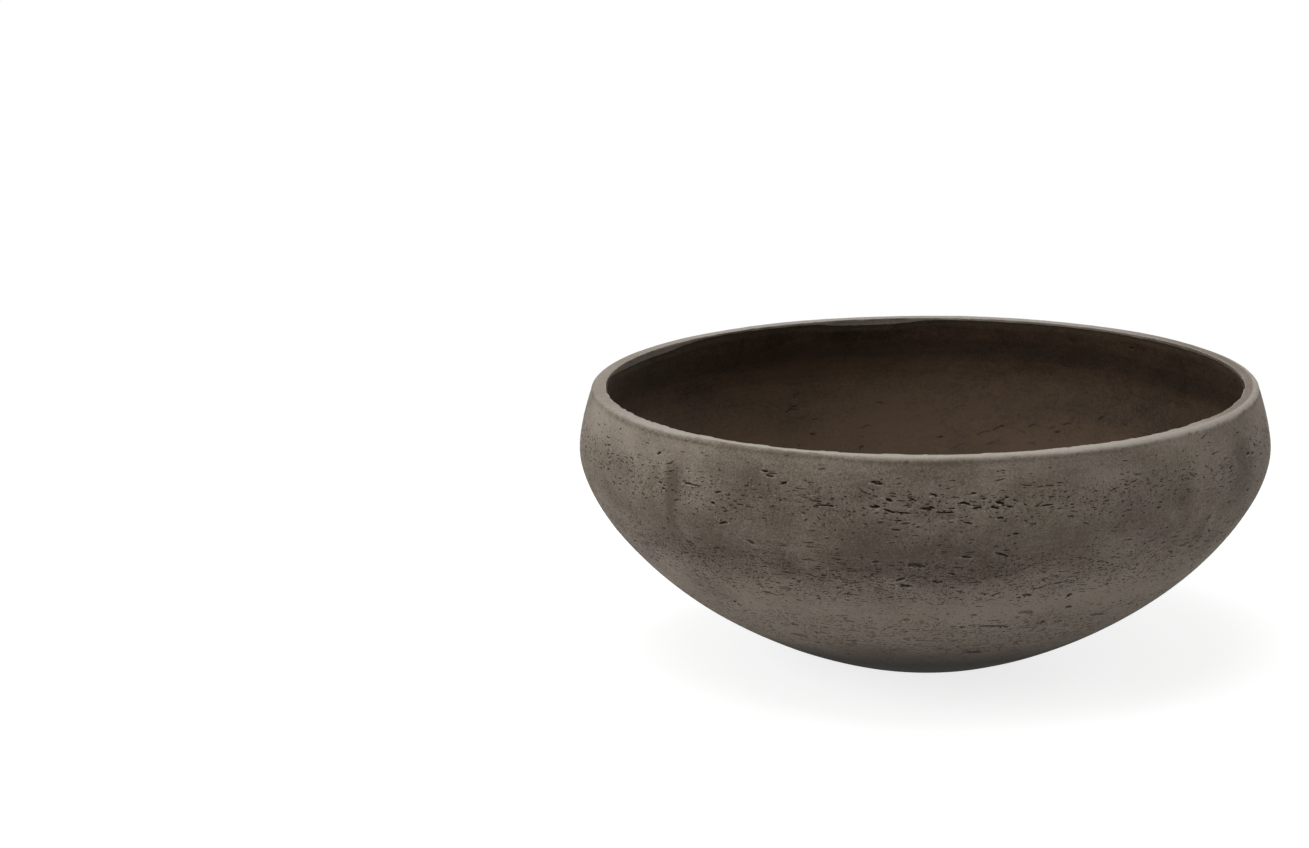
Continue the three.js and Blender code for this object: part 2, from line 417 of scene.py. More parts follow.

# Fuzzy marks on the outside, as bearing from the front in degrees, distance along the outer line, half width,
# half height and strength: below 0 is darker and above 0 paler, as dark stains and pale smears, except that
# the pale ones at 70 and 86 degrees either side of the front, along the silhouette, are painted sheen.
FRONT_MARKS = (
    (-43.5, 356, 7, 13, -0.85),
    (-44, 330, 6, 20, -0.65),
    (-48, 356, 4, 9, -0.3),
    (-49.5, 348, 5, 4, -0.3),
    (-48.5, 332, 5, 12, -0.2),
    (49, 338, 6, 20, 0.6),
    (54, 305, 5, 18, 0.55),
    (44, 384, 34, 20, 0.6),
    (-45, 252, 36, 22, -0.75),
    (-32, 296, 36, 18, -0.45),
    (-72, 384, 26, 22, 0.4),
    (63, 354, 20, 20, -0.7),
    (2, 312, 95, 24, -0.57),
    (0, 386, 30, 10, -0.45),
    # Painted sheen along the silhouette, on both sides.
    (-86, 340, 34, 40, 0.55),
    (-70, 300, 22, 26, 0.4),
    (86, 335, 30, 40, 0.5),
    (70, 275, 30, 26, 0.65),
    (21, 354, 22, 16, 0.35),
    (-23, 302, 12, 16, -0.45),
    (-23, 345, 12, 16, -0.25),
    (-2, 375, 50, 20, -0.22),
    (-29, 367, 32, 26, -0.62),
    (-34, 325, 40, 18, -0.4),
    (-66, 380, 60, 24, 0.62),
    (30, 370, 26, 12, 0.45),
    (27, 345, 22, 14, 0.35),
    (34, 305, 30, 20, 0.3),
    (-6, 285, 24, 10, 0.4),
    (14, 240, 34, 14, 0.3),
    (-10, 225, 46, 26, 0.3),
    (34, 262, 34, 16, 0.4),
)


def between(limits, share):
    """A share of the way from the first limit to the second."""
    return limits[0] + (limits[1] - limits[0]) * share


def belt_pits(belts, seed):
    """Pits for the whole way round, as FRONT_PITS has them, many of them near one of the belt's clusters. The
    front of the bowl, which has its own, gets fewer and only small ones."""
    draw = np.random.default_rng(seed)
    pits = []
    for middle, spread, count, clusters, lengths, heights in belts:
        centres = draw.uniform(-180, 180, clusters)
        heart = draw.normal(middle, spread * CLUSTER_SCATTER[0], clusters)
        chosen = draw.integers(0, clusters, count)
        near = draw.random(count) < CLUSTERED
        beside = centres[chosen] + draw.normal(0, CLUSTER_SPREAD, count)
        bearing = np.where(near, beside, draw.uniform(-180, 180, count))
        above = heart[chosen] + draw.normal(0, spread * CLUSTER_SCATTER[1], count)
        distance = np.where(near, above, draw.normal(middle, spread, count))
        length = between(lengths, draw.random(count) ** SMALL_OVER_LARGE)
        height = between(heights, draw.random(count))
        depth = between(PIT_DEPTHS, draw.random(count))
        slope = draw.normal(*PIT_SLOPES, count)
        arch = np.where(draw.random(count) < ARCHED, draw.uniform(*ARCHES, count), 0)
        front = np.abs(wrapped(np.radians(bearing))) < math.radians(FRONT_HALF_WIDTH)
        length = np.where(front, np.minimum(length, lengths[0] * LARGEST_IN_FRONT), length)
        height = np.where(front, np.minimum(height, heights[0] * LARGEST_IN_FRONT), height)
        kept = ~front | (draw.random(count) < KEPT_IN_FRONT)
        pits.append(np.c_[bearing, distance, length, height, depth, slope, arch][kept])
    return np.concatenate(pits)


class SplitGrid:
    """A closed section turned all the way round and cut into cells. A cell is split in four, and its parts
    again, where finer cells are asked for.

    Neighbours differ by one split at most, and a cell beside finer ones takes their corners into its own
    outline, so the surface has no gaps. A stretch is its first distance, how many rings of cells it has and
    the least number of splits in it; it ends where the next one begins."""

    def __init__(self, section, stretches, splits):
        starts, cells, least = zip(*stretches)
        ends = (*starts[1:], section.length)
        cut = [np.linspace(a, b, n, endpoint=False) for a, b, n in zip(starts, ends, cells)]
        self.rings = np.concatenate([*cut, [section.length]])
        self.section = section
        self.splits = splits
        self.fine = 2**splits
        rows = np.repeat(np.repeat(least, cells), self.fine)
        self.asked = np.tile(rows[:, None], (1, COLUMNS * self.fine)).astype(np.int8)
        self.row_at = self.distance(np.arange(self.asked.shape[0]) + 0.5)
        self.column_at = self.bearing(np.arange(self.asked.shape[1]) + 0.5)

    def distance(self, row):
        """The distance along the section of a place counted in the finest rings."""
        return np.interp(row / self.fine, np.arange(len(self.rings)), self.rings)

    def bearing(self, column):
        """The bearing of a place counted in the finest columns, from the back of the bowl."""
        return column * (2 * math.pi / self.asked.shape[1]) - 1.5 * math.pi

    def ask_round(self, spots, splits):
        """Asks for finer cells in an ellipse round each spot, somewhat larger than the spot is."""
        for front, middle, length, height, _, slope, arch in spots:
            wide = SPOT_REACH * length + SPOT_MARGIN[0]
            rise = 0.4 * length * abs(math.sin(math.radians(slope)))
            tall = SPOT_REACH * (height * (1 + 0.5 * abs(arch)) + rise) + SPOT_MARGIN[1]
            across = wrapped(self.column_at - front_bearing(front)) * self.section.at(middle)[0]
            columns = np.flatnonzero(np.abs(across) < wide)
            rows = np.flatnonzero(np.abs(self.row_at - middle) < tall)
            near = np.hypot(across[columns] / wide, (self.row_at[rows, None] - middle) / tall) < 1
            window = np.ix_(rows, columns)
            self.asked[window] = np.maximum(self.asked[window], near * splits)

    def _splits(self):
        """For each number of splits, which cells of that size are split again."""
        high, wide = self.asked.shape
        split = []
        for done in range(self.splits):
            size = self.fine >> done
            blocks = self.asked.reshape(high // size, size, wide // size, size)
            split.append(blocks.max(axis=(1, 3)) > done)
        for done in range(self.splits - 1, 0, -1):
            cells = split[done]
            beside = [np.roll(cells, step, axis) for step in (-1, 1) for axis in (0, 1)]
            spread = np.logical_or.reduce([cells, *beside])
            high, wide = spread.shape
            split[done - 1] |= spread.reshape(high // 2, 2, wide // 2, 2).any(axis=(1, 3))
        return split

    def mesh(self):
        """Bearing and distance of the corners, and the faces: each cell's outline, with the middles of the
        sides that finer neighbours share."""
        high, wide = self.asked.shape
        split = [*self._splits(), None]
        corner = np.zeros((high, wide), bool)
        there = np.ones((high // self.fine, wide // self.fine), bool)
        cells = []
        for done, again in enumerate(split):
            size = self.fine >> done
            last = there if again is None else there & ~again
            row, column = (found * size for found in np.nonzero(last))
            for down, right in ((0, 0), (0, size), (size, 0), (size, size)):
                corner[(row + down) % high, (column + right) % wide] = True
            cells.append((row, column, size))
            if again is not None:
                there = (there & again).repeat(2, axis=0).repeat(2, axis=1)
        number = np.cumsum(corner).reshape(corner.shape) - 1
        faces = []
        for row, column, size in cells:
            half = size // 2
            downs = (0, 0, 0, half, size, size, size, half)
            rights = (0, half, size, size, size, half, 0, 0)
            rows = np.array([(row + down) % high for down in downs])
            columns = np.array([(column + right) % wide for right in rights])
            named = number[rows, columns]
            shared = corner[rows, columns]
            shared[1::2] &= size > 1
            pattern = np.packbits(shared, axis=0)[0]
            for kind in np.unique(pattern):
                chosen = pattern == kind
                faces.extend(named[shared[:, chosen.argmax()]][:, chosen].T.tolist())
        row, column = np.nonzero(corner)
        return self.bearing(column), self.distance(row), faces


def pit_relief(bearing, distance, radius, ragged, pits):
    """How far the pits sink the surface, how much painted shade each corner gets in one, and how far it is on
    a pit's lower lip, which gets a painted highlight. A pit is an ellipse, turned by its slope and bent by
    its arch, whose outline is drawn in and out by noise; it sinks by a smooth step of the distance from that
    outline. The painted shade is deeper in deep narrow pits than in wide ones, and lighter over a pit's lower
    part, where light falls."""
    sink = np.zeros(len(bearing))
    dark = np.zeros(len(bearing))
    lip = np.zeros(len(bearing))
    for front, middle, length, height, depth, slope, arch in pits:
        near = np.flatnonzero(np.abs(distance - middle) < 2.4 * height + 0.6 * length + 2)
        across = wrapped(bearing[near] - front_bearing(front)) * radius[near]
        inside = np.abs(across) < 2 * length + 2
        near, across = near[inside], across[inside]
        up = distance[near] - middle
        turn = math.radians(slope)
        u = (across * math.cos(turn) + up * math.sin(turn)) / length
        v = (up * math.cos(turn) - across * math.sin(turn)) / height + arch * u * u
        out = np.hypot(u, v) * (1 + PIT_RAGGED * ragged[near])
        fill = smooth((PIT_OUTLINE - out) / PIT_WALL)
        # The lower lip gets a painted highlight, and the pit a painted shade that is deeper in deep narrow
        # pits and lighter over its lower part, where light falls.
        edge = bell(out - LIP_MIDDLE, LIP_WIDTH) * smooth(-v / 0.9) * min(1.0, 1.4 / height)
        depth_shade = float(smooth((depth / height - 0.15) / 0.6))
        sink[near] = np.maximum(sink[near], depth * fill)
        dark[near] = np.maximum(dark[near], fill * depth_shade * (1 - 0.45 * smooth(-0.2 - v)))
        lip[near] = np.maximum(lip[near], edge)
    return sink, dark, lip


def fuzzy_marks(bearing, distance, radius, marks):
    """The sum of the marks: each is a bell curve across and up."""
    total = np.zeros(len(bearing))
    for front, middle, width, height, strength in marks:
        across = wrapped(bearing - front_bearing(front)) * radius / width
        up = (distance - middle) / height
        total += strength * np.exp(-(across**2) - up**2)
    return np.clip(total, -1, 1)


# ---- Materials ----


class Term:
    """A number or colour that varies over a surface. Python's operators on terms add Math nodes."""

    def __init__(self, finish, socket):
        self.finish = finish
        self.socket = socket

    def _math(self, operation, first, second):
        return self.finish.node("ShaderNodeMath", {"operation": operation}, {0: first, 1: second})

    def __add__(self, other):
        return self._math("ADD", self, other)

    def __radd__(self, other):
        return self._math("ADD", other, self)

    def __sub__(self, other):
        return self._math("SUBTRACT", self, other)

    def __rsub__(self, other):
        return self._math("SUBTRACT", other, self)

    def __mul__(self, other):
        return self._math("MULTIPLY", self, other)

    def __rmul__(self, other):
        return self._math("MULTIPLY", other, self)

    def at_most(self, other):
        return self._math("MINIMUM", self, other)

    def at_least(self, other):
        return self._math("MAXIMUM", self, other)

    def step(self, low, high):
        """The smooth step from 0 at low to 1 at high, or down where low is the greater."""
        values = {"Value": self, "From Min": low, "From Max": high}
        return self.finish.node("ShaderNodeMapRange", {"interpolation_type": "SMOOTHSTEP"}, values)

    def within(self, belt):
        """The smooth step up over a belt's first two limits, and down again over its last two."""
        return self.step(belt[0], belt[1]) * self.step(belt[3], belt[2])

    def other(self, output):
        """Another output of the node that this term comes from."""
        return Term(self.finish, self.socket.node.outputs[output])


class Finish:
    """A material or a world, made node by node."""

    def __init__(self, owner):
        owner.use_nodes = True
        self.owner = owner
        self.tree = owner.node_tree
        self.tree.nodes.clear()

    def node(self, kind, settings=None, inputs=None, output=0):
        """Adds a node: its settings first, then its sockets' values or links. Gives one of its outputs."""
        made = self.tree.nodes.new(kind)
        for key, value in (settings or {}).items():
            setattr(made, key, value)
        for key, value in (inputs or {}).items():
            if isinstance(value, Term):
                self.tree.links.new(value.socket, made.inputs[key])
            else:
                made.inputs[key].default_value = value
        return None if output is None else Term(self, made.outputs[output])

    def attribute(self, name, output="Fac"):
        return self.node("ShaderNodeAttribute", {"attribute_name": name}, output=output)

    def scaled(self, vector, size):
        """A vector in millimetres, as a count of cells of a size in each direction."""
        factor = tuple(1 / s for s in size)
        return self.node("ShaderNodeVectorMath", {"operation": "MULTIPLY"}, {0: vector, 1: factor})

    def moved(self, vector, by, amount):
        """A vector moved by a colour's three channels, less a half, each times its own amount."""
        centred = self.node("ShaderNodeVectorMath", {"operation": "SUBTRACT"}, {0: by, 1: (0.5, 0.5, 0.5)})
        pushed = self.node("ShaderNodeVectorMath", {"operation": "MULTIPLY"}, {0: centred, 1: amount})
        return self.node("ShaderNodeVectorMath", {"operation": "ADD"}, {0: vector, 1: pushed})

    def noise(self, vector, size, detail=2.0, rough=0.5, twist=0.0):
        """Clouds of a size in millimetres in each direction, mostly between 0.3 and 0.7."""
        values = {"Vector": self.scaled(vector, size), "Scale": 1.0}
        values |= {"Detail": detail, "Roughness": rough, "Distortion": twist}
        return self.node("ShaderNodeTexNoise", None, values)

    def cells(self, vector):
        """The distance to the nearest of the points that lie strewn, one in each cell."""
        return self.node("ShaderNodeTexVoronoi", None, {"Vector": vector, "Scale": 1.0})

    def channel(self, colour, index):
        return self.node("ShaderNodeSeparateColor", None, {"Color": colour}, index)

    def mix(self, first, second, share, blend="MIX"):
        """A colour between two others, each of which is a term or a plain colour."""
        first, second = (c if isinstance(c, Term) else (*c, 1.0) for c in (first, second))
        settings = {"data_type": "RGBA", "blend_type": blend}
        return self.node("ShaderNodeMix", settings, {0: share, 6: first, 7: second}, 2)

    def bump(self, height, depth, normal=None):
        """The normal of a surface raised by a height from 0 to 1, times a depth in millimetres."""
        inputs = {"Height": height, "Distance": depth * METRES, "Strength": 1.0}
        if normal is not None:
            inputs["Normal"] = normal
        return self.node("ShaderNodeBump", None, inputs)

    def shaded(self, **sockets):
        """Ends the graph in a Principled surface. Names have _ for the spaces of the sockets."""
        values = {name.replace("_", " "): value for name, value in sockets.items()}
        return self.ended(self.node("ShaderNodeBsdfPrincipled", None, values))

    def ended(self, shader, end="ShaderNodeOutputMaterial"):
        """Links a shader to the output, and gives the material or the world."""
        self.node(end, None, {"Surface": shader}, None)
        return self.owner


def light(red, green, blue):
    """A colour as light, from its usual numbers from 0 to 255."""
    shares = (value / 255 for value in (red, green, blue))
    return tuple(s / 12.92 if s <= 0.04045 else ((s + 0.055) / 1.055) ** 2.4 for s in shares)


# How far a pore's outline is drawn in and out, as a share of its cell.
PORE_WOBBLE = 0.22


def pores(finish, lay, size, fullness, most, seedling):
    """Small elongated holes: 1 inside one and 0 outside. The surface is cut into stretched cells, and in a
    share of them, given by fullness, lies a hole of a random size up to most of the cell. The seedling moves
    one kind of pore away from the others."""
    shifted = finish.node("ShaderNodeVectorMath", {"operation": "ADD"}, {0: lay, 1: seedling})
    uneven = finish.noise(shifted, (size[0] * 0.45, size[0] * 0.45, size[2]), 1.0)
    cell = finish.cells(finish.moved(finish.scaled(shifted, size), uneven.other("Color"), (PORE_WOBBLE,) * 3))
    draw = cell.other("Color")
    present = (fullness - finish.channel(draw, 0)).step(-0.02, 0.02)
    reach = finish.channel(draw, 1) * (most * 0.6) + most * 0.4
    return (reach - cell).step(0.0, most * 0.14) * present


def grains(finish, place, size, rare, reach):
    """Small round spots in a few of the cells: the rare ones of their draws, and out to a reach."""
    cell = finish.cells(finish.scaled(place, size))
    chosen = finish.channel(cell.other("Color"), 0).step(*rare)
    return chosen * (reach[0] - cell).step(0.0, reach[1])


# Belts of the outside along the outer line, each with the limits over which it begins and ends: three in
# which the surface is more open, one that is paler, and the whole width that has pores.
SHOULDER_BELT = (332, 350, 359, 370)
FLANK_BELT = (250, 275, 298, 320)
LOW_BELT = (165, 190, 226, 250)
PALE_BELT = (160, 208, 250, 300)
POROUS_BELT = (60, 110, 372, 386)

# How many millimetres the belts of pores wander up and down, and the pores along and up.
BELT_WANDER = 26
PORE_DRIFT = (46, 46, 16)

# Kinds of pores: the size of their cells, how common they are, their reach in a cell and their seedling.
PORE_KINDS = (
    ((9, 9, 1.5), 0.8, 0.42, (3, 5, 7)),
    ((4.8, 4.8, 1.5), 1.3, 0.40, (31, 17, 11)),
    ((2.3, 2.3, 1.5), 1.3, 0.34, (71, 57, 23)),
)


def cement_material(looks):
    """Grey-brown fibre cement. Three sizes of cloud mottle it between its two body colours, stretched noise
    brushes it round the bowl, small pores and pale grains are strewn over it in belts, and the rim is worn
    pale. Painted shade darkens the pores, the air pits and nicks of the mesh and the foot near the floor, and
    a painted highlight pales each pit's lower lip. Its marks hold painted sheen at the sides and a painted
    shade line under the rim."""
    finish = Finish(bpy.data.materials.new("fibre_cement_cast"))
    lay = finish.attribute("lay", "Vector")
    place = finish.attribute("place", "Vector")
    up = finish.node("ShaderNodeSeparateXYZ", None, {0: lay}, "Z")

    wide = finish.noise(place, (95, 95, 60))
    middling = finish.noise(place, (30, 30, 20), 3.0, 0.55)
    small = finish.noise(place, (7, 7, 6), 3.0, 0.6)
    grain = finish.noise(place, (1.7, 1.7, 1.5), 1.0)
    fine = finish.noise(place, (0.8, 0.8, 0.8), 1.0)
    brushed = finish.noise(lay, (26, 26, 2.6), 3.0, 0.6)
    torn = finish.noise(place, (3.5, 3.5, 7), 3.0, 0.6)
    # The marks hold stains and smears, painted sheen at the sides and a painted shade line under the rim.
    marks = finish.attribute("marks") * (torn * 1.6 + 0.2)
    mottle = wide * 0.75 + middling * 0.55 + small * 0.30 + brushed * 0.28 + grain * 0.75 + fine * 0.55
    tone = mottle + marks * 0.55 + up.within(PALE_BELT) * 0.28 - 1.13
    body = finish.mix(looks.dark, looks.pale, tone.step(-0.05, 1.05))
    hue = finish.noise(place, (60, 60, 45)).step(0.38, 0.68)
    body = finish.mix(body, looks.tint, hue * 0.55, "MULTIPLY")

    wander = (middling - 0.5) * BELT_WANDER + up
    shoulder, flank, low = (wander.within(belt) for belt in (SHOULDER_BELT, FLANK_BELT, LOW_BELT))
    belts = (shoulder * 0.6 + flank + low * 0.9).at_most(1.0)
    porous = up.within(POROUS_BELT)
    open_share = (belts * 0.42 + 0.08) * porous
    drift = finish.noise(place, (48, 48, 30)).other("Color")
    drifted = finish.moved(lay, drift, PORE_DRIFT)
    # The pores and pricks below are dark with painted shade.
    pricks = finish.noise(lay, (1.5, 1.5, 0.7), 1.0).step(0.67, 0.72) * porous
    hollow = pricks * (belts * 0.3 + 0.3)
    for size, common, most, seedling in PORE_KINDS:
        hollow = hollow.at_least(pores(finish, drifted, size, open_share * common, most, seedling))

    worn = (finish.attribute("rim") * (small * 0.6 + grain * 0.6 + 0.32)).at_most(1.0)
    body = finish.mix(body, looks.worn, worn)
    # Painted highlight on the pits' lower lip.
    body = finish.mix(body, looks.worn, finish.attribute("lips") * 0.6)
    sand = grains(finish, place, (5.5, 5.5, 5.5), (0.80, 0.84), (0.12, 0.07))
    body = finish.mix(body, looks.grain, sand * 0.38)
    # Painted shade in the pores, and in the pits and nicks of the mesh.
    body = finish.mix(body, looks.hollow, (hollow * 0.88).at_least(finish.attribute("pits")))
    # Painted shade low on the foot, near the floor.
    body = finish.mix(body, looks.under, finish.attribute("under") * 0.98)

    rough = (small * 0.12 + 0.80 + hollow * 0.08).at_most(1.0)
    normal = finish.bump(grain * 0.6 + small * 0.4, 0.32)
    normal = finish.bump(1 - hollow, 0.75, normal)
    normal = finish.bump(brushed, 0.22, normal)
    return finish.shaded(Base_Color=body, Roughness=rough, Normal=normal, Specular_IOR_Level=0.2)


# Up the inner face from the hole: the painted shadow band where the wall stands upright, and the two limits
# each over which painted light makes the face paler where it turns into the hollow, and again within it.
SHADOW_BAND = (326, 337, 346, 354)
LIT_TURN = (340, 322)
LIT_FACE = (298, 258)


def coat_material(looks):
    """Dark brown sealer, brushed on in streaks round the bowl, and blotched and duller where it soaked in. A
    painted shadow band crosses the upright wall, painted light makes the face paler lower down, and each torn
    mark gets painted shade in it and a painted highlight over its lip.
    """
    finish = Finish(bpy.data.materials.new("sealer_brushed"))
    lay = finish.attribute("lay", "Vector")
    place = finish.attribute("place", "Vector")
    up = finish.attribute("up")
    relief = finish.attribute("relief")

    wide = finish.noise(place, (80, 80, 50))
    blotch = finish.noise(place, (19, 19, 13), 5.0, 0.68, 0.5)
    streak = finish.noise(lay, (55, 55, 3.4), 4.0, 0.62)
    grain = finish.noise(place, (1.5, 1.5, 1.4), 2.0, 0.6)
    speckle = finish.noise(place, (4.5, 4.5, 3.5), 3.0, 0.65)
    # Painted light: paler where the face turns up into the hollow, and again within it.
    lower = up.step(*LIT_TURN) * 0.14 + up.step(*LIT_FACE) * 0.21
    mottle = wide * 0.8 + blotch + streak * 0.3 + grain + speckle * 0.6
    tone = mottle + lower + finish.attribute("marks") * 0.36 - 1.33
    body = finish.mix(looks.dark, looks.pale, tone.step(0.0, 1.0))
    hue = finish.noise(place, (45, 45, 30), 3.0).step(0.35, 0.7)
    body = finish.mix(body, looks.tint, hue * 0.6, "MULTIPLY")
    # Painted shadow band where the wall stands upright.
    body = finish.mix(body, looks.dark, (up.within(SHADOW_BAND) * (blotch * 0.5 + 0.18)).at_most(1.0))
    nick = grains(finish, place, (9, 9, 7), (0.88, 0.92), (0.15, 0.06))
    # Dark nicks, and painted shade at the bottom of the torn marks.
    body = finish.mix(body, looks.gap, (nick * 0.8).at_least(relief.step(-0.05, -0.6) * 0.75))
    # Painted highlight over the torn marks' lip.
    body = finish.mix(body, looks.edge, relief.step(0.08, 0.35) * 0.6)
    body = finish.mix(body, looks.edge, finish.attribute("edge") * (blotch * 0.9).at_most(1.0))

    rough = (blotch * 0.25 + streak * 0.12 + 0.52).at_most(1.0)
    normal = finish.bump(grain, 0.3)
    normal = finish.bump(streak, 0.25, normal)
    normal = finish.bump(blotch, 0.9, normal)
    return finish.shaded(Base_Color=body, Roughness=rough, Normal=normal, Specular_IOR_Level=0.17)


def rubber_material(name, colour, dusty_colour, cell, roughness):
    """Moulded rubber: a fine leather of small cells, dust in its hollows and a few scuffs."""
    finish = Finish(bpy.data.materials.new(name))
    place = finish.attribute("place", "Vector")
    skin = finish.noise(place, (cell,) * 3, 3.0, 0.6)
    dust = finish.noise(place, (cell * 9,) * 3, 4.0, 0.6)
    scuff = finish.noise(place, (cell * 14, cell * 3, cell * 3), 3.0, 0.55).step(0.6, 0.72)
    share = (dust.step(0.42, 0.75) * 0.5 + (1 - skin) * 0.25 + scuff * 0.2).at_most(1.0)
    body = finish.mix(colour, dusty_colour, share)
    rough = (dust * 0.2 + scuff * 0.1 + roughness - 0.1).at_most(1.0)
    normal = finish.bump(skin, 0.12)
    normal = finish.bump(scuff, 0.05, normal)
    return finish.shaded(Base_Color=body, Roughness=rough, Normal=normal, Specular_IOR_Level=0.4)


# ---- Making a piece ----


def make_piece(name, points, faces, attributes, material, body, nodes, crease=None):
    """Puts a surface into a mesh, with its place in the mesh itself, and hands it to its body."""
    mesh = bpy.data.meshes.new(name)
    mesh.from_pydata((points * METRES).tolist(), [], faces)
    for key, values in {"place": points, **attributes}.items():
        kind, field = ("FLOAT_VECTOR", "vector") if np.ndim(values) == 2 else ("FLOAT", "value")
        made = mesh.attributes.new(key, kind, "POINT")
        made.data.foreach_set(field, np.asarray(values, np.float32).ravel())
    mesh.materials.append(material)
    mesh.update()
    mesh.shade_smooth()
    if crease is not None:
        mesh.set_sharp_from_angle(angle=crease)
    piece = bpy.data.objects.new(name, mesh)
    bpy.context.scene.collection.objects.link(piece)
    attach(piece, body)
    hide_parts(*nodes)
    return piece


def colour_property(name, description, default):
    return FloatVectorProperty(
        name=name, description=description, default=default, size=3, min=0, max=1, subtype="COLOR"
    )


def length_property(name, description, default):
    return FloatProperty(
        name=name, description=description, default=default, min=0, unit="LENGTH", precision=5
    )


def plain_property(name, description, default, **kind):
    return FloatProperty(name=name, description=description, default=default, min=0, **kind)


# ---- The casting ----

# Clouds of the casting's relief and wear, as weight, size and seed: on its face, round the pits' outlines, on
# the rim, along the rim's broken inner edge, and along the edge of its pale wear.
FACE_CLOUDS = ((0.6, 70, 21), (0.3, 24, 22))
PIT_CLOUDS = ((0.7, (1.9, 1.9, 1.2), 3), (0.45, (1, 1, 0.7), 4))
RIM_CLOUDS = ((0.2, (38, 38, 20), 31), (0.1, (7, 7, 6), 32))
CHIP_CLOUDS = ((0.9, 9, 33), (0.5, 3.4, 34))
WEAR_CLOUDS = ((0.5, 6, 43), (0.3, 2.5, 44))

# Nicks in the outside, under the rim's outer corner: how far under it, half how high, how deep, how dark
# their painted shade is, and their clouds' size and seed, with the value over which they begin and by which
# they are whole.
NICKS_BELOW = 2.7
NICKS_WIDTH = 0.8
NICKS_DEPTH = 0.4
NICKS_SHADE = 0.8
NICKS_CLOUDS = ((3.5, 3.5, 3), 35)
NICKS_BEGIN = 0.5
NICKS_WHOLE = 0.75

# Millimetres by which the casting lies under its drawn line: its face, its rubbed rim, and the wall that the
# coat hides. The lower lip of a pit stands up by so much, and a chip of the inner edge reaches so far.
FACE_SUNK = 0.45
RIM_RUBBED = 0.26
WALL_HIDDEN = 0.6
LIP_RISE = 0.22
CHIP_REACH = 1.5

# Parts of the rim that are worn in their own way: their middle, in degrees to the right of the front, and
# their half width.
WORN_FRONT_LEFT = (-28, 15)
WORN_FRONT_RIGHT = (44, 22)
WORN_LEFT = (-95, 34)
WORN_RIGHT = (95, 42)

# Painted shade low on the foot, near the floor: dark up to the first distance along the line, and no longer
# at the second.
SHADED_FOOT = (123, 181)


class PlanterCementLooks(bpy.types.PropertyGroup):
    """Colours and relief of the casting"""

    pale: colour_property("Pale", "Lightest tone of the mottled cement", light(136, 126, 115))
    dark: colour_property("Dark", "Darkest tone of the mottled cement", light(84, 74, 65))
    tint: colour_property("Tint", "Tint of the greener patches", light(243, 246, 237))
    # Worn also colours the painted highlight on the pits' lower lip.
    worn: colour_property("Worn", "Worn rim and pit edges", light(157, 150, 141))
    # Hollow is the colour of the painted shade at the bottom of the pores and pits.
    hollow: colour_property("Hollow", "Bottom of the pores and pits", light(36, 27, 20))
    grain: colour_property("Grain", "Pale grains of sand", light(190, 184, 172))
    # Under is the colour of the painted shade low on the foot, near the floor.
    under: colour_property("Under", "Damp cement low on the foot", light(34, 32, 28))
    sway: length_property("Sway", "How far the surface wanders in and out", 0.0005)
    pit_scale: plain_property("Pit depth", "Depth of the pits, as a share", 1, max=2)
    chips: length_property("Chips", "How far the rim's inner edge is broken back", 0.0009)
    seed: IntProperty(name="Seed", description="Which pits are strewn round the bowl", default=11, min=0)


def shell_section():
    """The casting's closed line: outside, rounded rim, inner wall, floor, and the wall of the drain hole."""
    outside, _ = outer_line()
    inside = ended_at(SHELL_HEIGHT, inner_line())
    rim = np.linspace(outside[-1], inside[-1], ARC_POINTS * 2)
    over = with_corner_rounded(outside, rim, RIM_ROUND)
    over = with_corner_rounded(over, inside[::-1], RIM_EASE)
    return Section(np.r_[over, outside[:1]])


class ShellPlaces:
    """Distances along the casting's line: the edge of the foot, the rim's outer corner and inner edge, the
    edge of the plug's seat in the floor inside, and the top of the drain hole."""

    def __init__(self, section):
        inner_edge = ended_at(SHELL_HEIGHT, inner_line())[-1, 0]
        self.foot = section.nearest(FOOT_RADIUS, 0)
        self.corner = section.nearest(BELLY_RADIUS - RIM_INSET, SHELL_HEIGHT)
        self.edge = section.nearest(inner_edge, SHELL_HEIGHT)
        self.floor = section.nearest(PLUG_SEAT_RADIUS + PLUG_SEAT_DEPTH, FLOOR)
        self.hole = section.nearest(HOLE_RADIUS, FLOOR - PLUG_SEAT_DEPTH)

    def stretches(self):
        """How the casting is cut into cells: finest over the rim, and coarse behind the coat."""
        return (
            (0, 6, 0),
            (self.foot, 5, 1),
            (self.foot + 40, 29, 1),
            (self.corner - 12, 1, 2),
            (self.corner - 5, 1, 3),
            (self.corner + 3, 1, 3),
            (self.edge - 1.4, 1, 3),
            (self.edge + 1.4, 1, 3),
            (self.edge + 9, 1, 2),
            (self.edge + 20, 32, 0),
            (self.floor, 2, 0),
            (self.hole, 1, 0),
        )


def shell_relief(looks, at, distance, flat, outside, sink, lip, nicks):
    """How far the casting's surface lies above its drawn line, mostly less than 0. The outside wanders in and
    out and is sunk by its pits; the rim is rubbed down unevenly, its inner edge is chipped, and under its
    outer corner are nicks."""
    relief = looks.sway / METRES * layered(flat, FACE_CLOUDS) - FACE_SUNK
    relief = np.minimum(relief * outside - sink * outside + LIP_RISE * lip, 0)
    on_rim = smooth((distance - at.corner + 9) / 6) * smooth((at.edge + 9 - distance) / 6)
    relief -= on_rim * (RIM_RUBBED + layered(flat, RIM_CLOUDS))
    chipped = smooth(0.5 + layered(flat, CHIP_CLOUDS))
    relief -= bell(distance - at.edge, CHIP_REACH) * chipped * looks.chips / METRES
    relief -= nicks * NICKS_DEPTH
    behind = smooth((distance - at.edge - 9) / 6) * smooth((at.floor - distance) / 20)
    return np.where(distance > at.edge + 6, 0, relief) - WALL_HIDDEN * behind


